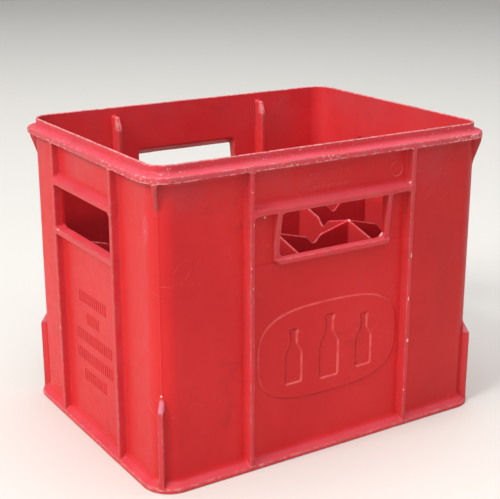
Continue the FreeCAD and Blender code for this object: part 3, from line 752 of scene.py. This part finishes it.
def raised(rel, pts, height, edge=0.35, holes=(), hole_depth=0.0, grid=0, wear=0.8):
    """A raised pad with soft edges, its base sunk in the wall; holes are recessed areas."""
    lean = height / math.hypot(height, edge)
    lay = [(0.0, -0.5, 1.0, 0.0), (0.0, -0.12, lean, 0.0), (edge * 0.25, height * 0.22, lean, 0.1),
           (edge * 0.8, height * 0.84, lean * 0.85, wear), (edge * 1.05, height * 0.98, 0.25, wear * 0.6), (edge * 1.35, height, 0.0, 0.0)]
    rings, flat = [], {}
    for ins, h, tilt, we in lay:
        p = inset(pts, ins)
        r = rel.ring(p, h, tilt, we)
        for i, q in zip(r, p):
            flat[i] = (float(q[0]), float(q[1]))
        rings.append(r)
    for a, b in zip(rings, rings[1:]):
        rel.band(a, b)
    hole_rings = []
    for hp in holes:       # rings run clockwise, so that they lean towards the recess
        k = min(1.0, hole_depth)
        lay_h = [(-1.2 * k, height, 0.0, 0.0), (-0.7 * k, height - 0.08 * k, 0.3, 0.9), (-0.1 * k, height - 0.38 * hole_depth, 0.8, 1.0),
                 (0.6 * k, height - 0.85 * hole_depth, 0.76, 0.8), (1.2 * k, height - hole_depth, 0.31, 0.2), (1.6 * k, height - hole_depth, 0.0, 0.0)]
        rr = []
        for ins, h, tilt, we in lay_h:
            p = inset(hp, ins)[::-1]
            r = rel.ring(p, h, tilt, we)
            for i, q in zip(r, p):
                flat[i] = (float(q[0]), float(q[1]))
            rr.append(r)
        for a, b in zip(rr, rr[1:]):
            rel.band(b, a)
        hole_rings.append(rr)
    rel.fill(rings[-1], [rr[0] for rr in hole_rings], flat, grid, height)
    for rr in hole_rings:
        rel.fill(rr[-1][::-1], [], flat, 0, height - hole_depth)
    # back face, inside the wall
    rel.fill(rings[0], [], flat, 0, -0.5, flip=True)


def bottle(u, z, k):
    right = [(10.5, -31, 2.5), (10.5, 3, 7), (3.9, 14, 7), (3.9, 26.5, 0), (5.0, 26.5, 0), (5.0, 31, 2.0)]
    pts = right + [(-a, b, r) for a, b, r in reversed(right)]
    return dense(outline([(u + k * a, z + k * b, k * r) for a, b, r in pts], 8), 3.0)


def bar(u, z, w, h, r):
    return outline([(u - w / 2, z - h / 2, r), (u + w / 2, z - h / 2, r), (u + w / 2, z + h / 2, r), (u - w / 2, z + h / 2, r)], 4)


def spread(widths, gap):
    u = -(sum(widths) + gap * (len(widths) - 1)) / 2
    out = []
    for w in widths:
        out.append((u + w / 2, w))
        u += w + gap
    return out


END_ROWS = [(148.0, 13), (126.5, 6), (105.0, 17), (83.5, 17), (62.0, 11)]
BAND_ROWS = [(287.0, [6, 9, 5, 8, 6, 9]), (273.0, [7, 5, 9, 6, 7])]
EMBLEM = [(-43.0, -2.0, 0.92), (0.0, 0.0, 1.08), (43.0, -2.0, 0.92)]

for side in ("front", "back"):
    th = np.linspace(0, 2 * math.pi, 720, endpoint=False)
    c, s = np.cos(th), np.sin(th)
    oval = np.stack([86.0 * np.sign(c) * np.abs(c) ** (2 / 3.0), 109.0 + 50.0 * np.sign(s) * np.abs(s) ** (2 / 3.0)], -1)
    rel = Relief(side)
    raised(rel, even(oval, 2.4), 1.25, 2.1, [bottle(u, 109.0 + dz, k) for u, dz, k in EMBLEM], 1.15, grid=7.0, wear=0.85)
    rel.done(f"{side}_label_plaque", [f"{side}_label_plaque"])
    rel = Relief(side)
    for z, row in BAND_ROWS:
        for u, w in spread(row, 2.0):
            raised(rel, bar(u, z, w, 4.4, 1.0), 0.45, 0.4, wear=0.8)
    th = np.linspace(0, 2 * math.pi, 40, endpoint=False)
    circle = lambda r: np.stack([79 + r * np.cos(th), 279 + r * np.sin(th)], -1)
    raised(rel, circle(8.0), 0.45, 0.4, [circle(6.6)], 0.6, wear=0.8)
    rel.done(f"{side}_mould_marks", [f"{side}_mould_marks"])
for side in ("left", "right"):
    rel = Relief(side)
    for z, row in END_ROWS:
        for u, w in spread([1.7] * row, 3.3):
            raised(rel, bar(u, z, w, 13.0, 0.65), 0.62, 0.4, wear=0.8)
    rel.done(f"{side}_mark_bars", [f"{side}_mark_bars"])


# ------------------------------------------------------------------ material
def plastic(name, shift=0.0):
    m = bpy.data.materials.new(name)
    m.use_nodes = True
    nt = m.node_tree
    nt.nodes.clear()
    N = lambda t, **kw: _node(nt, t, kw)
    link = nt.links.new
    out = N("ShaderNodeOutputMaterial")
    bsdf = N("ShaderNodeBsdfPrincipled")
    link(bsdf.outputs[0], out.inputs[0])
    tc = N("ShaderNodeTexCoord")
    obj = tc.outputs["Object"]

    def noise(scale, detail=3.0, rough=0.55, dist=0.0, vec=None, mapping=None):
        n = N("ShaderNodeTexNoise")
        n.inputs["Scale"].default_value = scale
        n.inputs["Detail"].default_value = detail
        n.inputs["Roughness"].default_value = rough
        n.inputs["Distortion"].default_value = dist
        v = vec or obj
        if mapping:
            for key, value in (("Rotation", mapping[0]), ("Scale", mapping[1])):     # turned first, then stretched
                mp = N("ShaderNodeMapping")
                mp.inputs[key].default_value = value
                link(v, mp.inputs[0])
                v = mp.outputs[0]
        link(v, n.inputs["Vector"])
        return n.outputs["Fac"]

    def ramp(src, lo, hi, a=0.0, b=1.0):
        r = N("ShaderNodeMapRange")
        r.interpolation_type = "SMOOTHSTEP"
        r.inputs["From Min"].default_value = lo
        r.inputs["From Max"].default_value = hi
        r.inputs["To Min"].default_value = a
        r.inputs["To Max"].default_value = b
        link(src, r.inputs["Value"])
        return r.outputs[0]

    def mth(op, a, b=None, clamp=False):
        n = N("ShaderNodeMath")
        n.operation = op
        n.use_clamp = clamp
        for i, v in enumerate((a, b)):
            if v is None:
                continue
            if isinstance(v, (int, float)):
                n.inputs[i].default_value = v
            else:
                link(v, n.inputs[i])
        return n.outputs[0]

    def mix(fac, a, b):
        n = N("ShaderNodeMix")
        n.data_type = "RGBA"
        if isinstance(fac, (int, float)):
            n.inputs[0].default_value = fac
        else:
            link(fac, n.inputs[0])
        for i, v in ((6, a), (7, b)):
            if isinstance(v, tuple):
                n.inputs[i].default_value = (*v, 1)
            else:
                link(v, n.inputs[i])
        return n.outputs[2]

    wear = N("ShaderNodeAttribute")
    wear.attribute_name = "edge_wear"
    wear = wear.outputs["Fac"]
    def attribute(key):
        n = N("ShaderNodeAttribute")
        n.attribute_name = key
        return n.outputs["Fac"]

    grime_and_shade, chip, scuff, polish_and_highlight = attribute("grime_and_shade"), attribute("chip"), attribute("scuff"), attribute("polish_and_highlight")
    geo = N("ShaderNodeNewGeometry")
    sep = N("ShaderNodeSeparateXYZ")
    link(geo.outputs["Normal"], sep.inputs[0])
    up = ramp(sep.outputs["Z"], 0.25, 0.95)
    pos = N("ShaderNodeSeparateXYZ")
    link(obj, pos.inputs[0])

    # pigment, unevenly faded
    z = pos.outputs["Z"]
    big = noise(7.0, 3.0, 0.5, 0.4)
    mid = noise(38.0, 4.0, 0.6, 0.2)
    fine = noise(420.0, 3.0, 0.6)
    col = mix(ramp(big, 0.3, 0.72), (0.575, 0.0125, 0.0165), (0.655, 0.0180, 0.0205))
    col = mix(ramp(mid, 0.35, 0.8, 0.0, 0.30), col, (0.66, 0.030, 0.030))
    # how far in from the outside: 0.029 m at the outer face, 0.017 at the inner
    depth = None
    for axis, c in (("X", CX), ("Y", CY)):
        q = mth("MAXIMUM", mth("SUBTRACT", mth("ABSOLUTE", pos.outputs[axis]), c / 1000), 0.0)
        q = mth("MULTIPLY", q, q)
        depth = q if depth is None else mth("ADD", depth, q)
    depth = mth("SQRT", depth)
    # painted sheen on whatever stands proud, dust inside, and painted sheen on the side that faces the key light
    proud_sheen = mth("MULTIPLY", ramp(depth, 0.0217, 0.0227), ramp(mid, 0.25, 0.75, 0.26, 0.46))
    col = mix(proud_sheen, col, (0.64, 0.075, 0.100))
    inside = ramp(depth, 0.0175, 0.0185, 1.0, 0.0)
    dust = mth("MULTIPLY", inside, ramp(noise(21.0, 4.0, 0.6), 0.3, 0.7, 0.34, 0.62))
    col = mix(dust, col, (0.79, 0.046, 0.057))
    # painted shade: darker deep in the cells, below the tops of the dividers
    col = mix(mth("MULTIPLY", inside, ramp(z, 0.185, 0.206, 0.56, 0.0)), col, (0.33, 0.012, 0.020))
    # painted sheen: paler on faces that turn towards the key light (normal towards -X)
    key_side_sheen = ramp(mth("MULTIPLY", sep.outputs["X"], -1.0), 0.6, 0.95, 0.0, 0.24)
    col = mix(key_side_sheen, col, (0.69, 0.060, 0.056))
    # the right-hand end is the dirtier one
    soiled = mth("MULTIPLY", ramp(pos.outputs["X"], 0.085, 0.150), ramp(noise(11.0, 5.0, 0.65), 0.25, 0.7, 0.10, 0.30))
    soiled = mth("MULTIPLY", soiled, mth("SUBTRACT", 1.0, inside))
    col = mix(soiled, col, (0.28, 0.018, 0.013))
    # chalky bloom where the sun reaches: tops of rails and sills, and near the rim
    rimz = ramp(scuff, 0.02, 0.18)
    chalk = mth("MULTIPLY", mth("ADD", mth("MULTIPLY", up, 0.40), mth("MULTIPLY", rimz, 0.42)), ramp(mid, 0.25, 0.7, 0.6, 1.0), clamp=True)
    col = mix(chalk, col, (0.62, 0.085, 0.125))
    # greyish film on the walls close to the rim, partly a painted sheen
    film_and_sheen = mth("MULTIPLY", ramp(z, 0.235, 0.31), ramp(noise(17.0, 4.0, 0.6), 0.35, 0.7))
    col = mix(mth("MULTIPLY", film_and_sheen, 0.34), col, (0.47, 0.075, 0.095))
    # dull film in streaks down the walls
    streak = noise(9.0, 5.0, 0.65, 0.3, mapping=((0, 0, 0), (9.0, 9.0, 0.8)))
    col = mix(ramp(streak, 0.52, 0.8, 0.0, 0.16), col, (0.62, 0.05, 0.05))
    smudge = mth("MULTIPLY", ramp(noise(13.0, 6.0, 0.72, 0.6), 0.56, 0.70), ramp(noise(90.0, 3.0, 0.6), 0.35, 0.65))
    col = mix(mth("MULTIPLY", smudge, 0.30), col, (0.26, 0.018, 0.016))
    # dirt and painted shade in the hollows, and painted shade on the sides of the raised trim that turn away from the
    # light
    dirt_and_shade = mth("MULTIPLY", ramp(grime_and_shade, 0.05, 0.7), ramp(noise(60.0, 5.0, 0.7), 0.30, 0.62), clamp=True)
    col = mix(mth("MULTIPLY", dirt_and_shade, 0.50), col, (0.22, 0.010, 0.014))
    handled = noise(26.0, 4.0, 0.7, mapping=((0, 0, 0), (1, 1, 0.45)))
    smear = mth("MULTIPLY", ramp(wear, 0.12, 0.6), ramp(handled, 0.36, 0.56), clamp=True)
    col = mix(mth("MULTIPLY", smear, 0.62), col, (0.36, 0.080, 0.070))
    # edges rubbed pale
    rub = mth("MULTIPLY", ramp(wear, 0.25, 0.85), ramp(noise(150.0, 5.0, 0.75), 0.47, 0.62), clamp=True)
    rub = mth("MULTIPLY", rub, mth("ADD", 0.26, mth("MULTIPLY", rimz, 0.34)))
    col = mix(rub, col, (0.74, 0.30, 0.31))
    # ragged pale burr along the flange's lower edge, the lip's top and the foot's edge
    ragged = noise(210.0, 4.0, 0.7)
    at_flange = mth("MULTIPLY", ramp(z, 0.2985, 0.3), ramp(z, 0.3022, 0.3038, 1.0, 0.0))
    burr = mth("MULTIPLY", mth("MULTIPLY", ramp(wear, 0.15, 0.55), at_flange), ramp(mth("ADD", ragged, mth("MULTIPLY", scuff, 0.07)), 0.545, 0.61))
    lip = mth("MULTIPLY", mth("MULTIPLY", ramp(wear, 0.3, 0.8), ramp(z, 0.3135, 0.3143)), ramp(ragged, 0.40, 0.64, 0.12, 0.5))
    foot = mth("MULTIPLY", mth("MULTIPLY", ramp(wear, 0.15, 0.6), ramp(z, 0.0045, 0.0075, 1.0, 0.0)), ramp(ragged, 0.46, 0.62, 0.08, 0.42))
    pale = mth("MAXIMUM", mth("MAXIMUM", mth("MULTIPLY", burr, 0.62), lip), foot)
    col = mix(pale, col, (0.78, 0.44, 0.44))
    # flecks scattered over the rim
    flecks = mth("MULTIPLY", ramp(mth("ADD", noise(330.0, 4.0, 0.72), mth("MULTIPLY", scuff, 0.075)), 0.655, 0.70), ramp(scuff, 0.05, 0.3))
    col = mix(mth("MULTIPLY", flecks, 0.65), col, (0.76, 0.42, 0.42))
    darks = mth("MULTIPLY", ramp(noise(240.0, 4.0, 0.72, vec=None, mapping=((0.4, 0.2, 0.1), (1, 1, 1.6))), 0.62, 0.70), ramp(scuff, 0.3, 0.9))
    col = mix(mth("MULTIPLY", darks, 0.5), col, (0.20, 0.03, 0.04))
    # worn nose of the gussets at the foot
    out_ = mth("MULTIPLY", mth("ADD", mth("ABSOLUTE", pos.outputs["X"]), mth("ABSOLUTE", pos.outputs["Y"])), 0.7071)
    out_ = mth("SUBTRACT", out_, (CX + CY) * 0.7071 / 1000)
    nose = mth("MULTIPLY", mth("MULTIPLY", ramp(z, 0.0815, 0.0835), ramp(z, 0.0955, 0.0975, 1.0, 0.0)), ramp(out_, 0.0208, 0.0222))
    col = mix(mth("MULTIPLY", nose, ramp(fine, 0.3, 0.7, 0.6, 0.9)), col, (0.60, 0.19, 0.26))
    # the lead-in at the top of the guide ribs, rubbed by bottles
    lead = mth("MULTIPLY", mth("MULTIPLY", inside, ramp(z, 0.2895, 0.2935)), ramp(mth("ABSOLUTE", pos.outputs["Y"]), 0.1290, 0.1315, 1.0, 0.0))
    lead = mth("MULTIPLY", lead, mth("LESS_THAN", mth("ABSOLUTE", mth("SUBTRACT", mth("ABSOLUTE", pos.outputs["X"]), 0.094)), 0.004))
    col = mix(mth("MULTIPLY", lead, ramp(noise(230.0, 4.0, 0.7), 0.35, 0.62, 0.15, 0.8)), col, (0.76, 0.27, 0.28))
    stain = mth("MULTIPLY", mth("MULTIPLY", ramp(z, 0.2705, 0.276), ramp(z, 0.2975, 0.3, 1.0, 0.0)), ramp(noise(120.0, 4.0, 0.7), 0.38, 0.60))
    stain = mth("MULTIPLY", stain, mth("LESS_THAN", mth("ABSOLUTE", mth("SUBTRACT", mth("SUBTRACT", mth("ABSOLUTE", pos.outputs["X"]), CX / 1000), mth("SUBTRACT", mth("ABSOLUTE", pos.outputs["Y"]), CY / 1000))), 0.0044))
    stain = mth("MULTIPLY", stain, mth("GREATER_THAN", mth("ABSOLUTE", pos.outputs["X"]), 0.1853))
    col = mix(mth("MULTIPLY", stain, 0.55), col, (0.26, 0.040, 0.036))
    # edges of the raised trim, rubbed bright, with a painted highlight on the side that faces the light
    col = mix(mth("MULTIPLY", polish_and_highlight, ramp(noise(95.0, 3.0, 0.6), 0.32, 0.6, 0.30, 0.72)), col, (0.76, 0.14, 0.14))
    # fine scratches, three ways
    lines = None
    for rot, sc, lo in (((0.9, 0.3, 0.7), (1.0, 30.0, 1.0), 0.70), ((1.1, 1.1, 0.3), (28.0, 1.0, 1.0), 0.71), ((1.0, 0.6, 0.9), (1.0, 1.0, 34.0), 0.70)):
        s = ramp(noise(48.0, 2.0, 0.5, mapping=(rot, sc)), lo, lo + 0.04)
        lines = s if lines is None else mth("MAXIMUM", lines, s)
    lines = mth("MULTIPLY", lines, ramp(noise(16.0, 2.0, 0.5), 0.50, 0.62))
    col = mix(mth("MULTIPLY", lines, 0.21), col, (0.80, 0.30, 0.28))
    # white specks and chips
    vor = N("ShaderNodeTexVoronoi")
    vor.inputs["Scale"].default_value = 62.0
    link(obj, vor.inputs["Vector"])
    vs = N("ShaderNodeSeparateColor")
    link(vor.outputs["Color"], vs.inputs[0])
    chance = mth("GREATER_THAN", vs.outputs[1], 0.975)
    dot = mth("LESS_THAN", mth("ADD", vor.outputs["Distance"], mth("MULTIPLY", fine, 0.08)), 0.098)
    speck = mth("MULTIPLY", chance, dot)
    speck = mth("MAXIMUM", mth("MULTIPLY", speck, 0.7), ramp(mth("ADD", chip, mth("MULTIPLY", mth("SUBTRACT", ragged, 0.5), 0.9)), 0.42, 0.62))
    col = mix(mth("MULTIPLY", speck, 0.82), col, (0.80, 0.56, 0.53))
    link(col, bsdf.inputs["Base Color"])
    # gloss
    rg = mth("ADD", ramp(mid, 0.3, 0.75, 0.34, 0.46), mth("MULTIPLY", ramp(noise(90.0, 4.0, 0.65), 0.4, 0.75), 0.10))
    rg = mth("ADD", rg, mth("MULTIPLY", chalk, 0.16))
    rg = mth("ADD", rg, mth("MULTIPLY", mth("MAXIMUM", rub, pale), 0.25))
    rg = mth("ADD", rg, mth("MULTIPLY", dirt_and_shade, 0.15), clamp=True)
    link(rg, bsdf.inputs["Roughness"])
    bsdf.inputs["IOR"].default_value = 1.5
    bsdf.inputs["Specular IOR Level"].default_value = 0.22
    # surface
    hgt = mth("ADD", mth("MULTIPLY", noise(700.0, 2.0, 0.6), 0.25), mth("MULTIPLY", noise(120.0, 3.0, 0.6), 0.35))
    hgt = mth("ADD", hgt, mth("MULTIPLY", noise(30.0, 2.0, 0.5), 0.5))
    hgt = mth("SUBTRACT", hgt, mth("MULTIPLY", lines, 0.5))
    hgt = mth("SUBTRACT", hgt, mth("MULTIPLY", mth("MAXIMUM", rub, mth("MAXIMUM", pale, flecks)), 0.9))
    bump = N("ShaderNodeBump")
    bump.inputs["Strength"].default_value = 0.30
    bump.inputs["Distance"].default_value = 0.0006
    link(hgt, bump.inputs["Height"])
    link(bump.outputs[0], bsdf.inputs["Normal"])
    return m


def _node(nt, t, kw):
    n = nt.nodes.new(t)
    for k, v in kw.items():
        setattr(n, k, v)
    return n


body_mat = plastic("faded_red_polyethylene")
for ob in PIECES.values():
    ob.data.materials.clear()
    ob.data.materials.append(body_mat)

# ------------------------------------------------------------------ stage, light and camera
def stage_floor():
    n = 60
    g = np.linspace(-5, 5, n)
    vs = [(x, y, 0.0) for x in g for y in g]
    fs = [(i * n + j, (i + 1) * n + j, (i + 1) * n + j + 1, i * n + j + 1) for i in range(n - 1) for j in range(n - 1)]
    me = bpy.data.meshes.new("stage_floor")
    me.from_pydata(vs, [], fs)
    ob = bpy.data.objects.new("stage_floor", me)
    bpy.context.scene.collection.objects.link(ob)
    m = bpy.data.materials.new("pale_floor")
    m.use_nodes = True
    nt = m.node_tree
    b = nt.nodes["Principled BSDF"]
    tx = nt.nodes.new("ShaderNodeTexNoise")
    tx.inputs["Scale"].default_value = 3.0
    rp = nt.nodes.new("ShaderNodeMix")
    rp.data_type = "RGBA"
    rp.inputs[6].default_value = (0.66, 0.64, 0.60, 1)
    rp.inputs[7].default_value = (0.72, 0.70, 0.66, 1)
    nt.links.new(tx.outputs["Fac"], rp.inputs[0])
    nt.links.new(rp.outputs[2], b.inputs["Base Color"])
    b.inputs["Roughness"].default_value = 0.7
    me.materials.append(m)
    return ob


stage_floor()


def area(name, loc, target, size, power, colour=(1, 1, 1)):
    li = bpy.data.lights.new(name, "AREA")
    li.shape = "RECTANGLE"
    li.size, li.size_y = size
    li.energy = power
    li.color = colour
    ob = bpy.data.objects.new(name, li)
    bpy.context.scene.collection.objects.link(ob)
    ob.location = loc
    ob.rotation_euler = (Vector(target) - Vector(loc)).to_track_quat("-Z", "Y").to_euler()
    return ob


area("key", (-5.3, -0.7, 4.5), (0, 0, 0.15), (2.6, 2.6), 352.0, (1.0, 0.97, 0.945))
area("sky", (0.1, 0.1, 3.6), (0, 0, 0), (4.0, 4.0), 111.0, (0.96, 0.975, 1.0))
area("fill", (-0.7, -2.7, 3.1), (0, 0, 0.2), (2.4, 1.8), 38.0, (1.0, 0.985, 0.96))

world = bpy.data.worlds.new("soft_studio")
bpy.context.scene.world = world
world.use_nodes = True
bg = world.node_tree.nodes["Background"]
bg.inputs["Color"].default_value = (0.87, 0.885, 0.91, 1)
bg.inputs["Strength"].default_value = 0.385

cam_data = bpy.data.cameras.new("camera")
cam = bpy.data.objects.new("camera", cam_data)
bpy.context.scene.collection.objects.link(cam)
yaw, pitch, roll = math.radians(32.358), math.radians(17.5), math.radians(0.05)
fwd = Vector((math.sin(yaw) * math.cos(pitch), math.cos(yaw) * math.cos(pitch), -math.sin(pitch)))
cam.location = (-0.6185, -0.9706, 0.5345)
cam.rotation_euler = fwd.to_track_quat("-Z", "Y").to_euler()
cam_data.sensor_width = 36.0
cam_data.lens = 1113.0 / 500.0 * 36.0
cam_data.clip_start, cam_data.clip_end = 0.05, 50.0
bpy.context.scene.camera = cam
bpy.context.scene.view_settings.view_transform = "Standard"
bpy.context.scene.view_settings.look = "None"
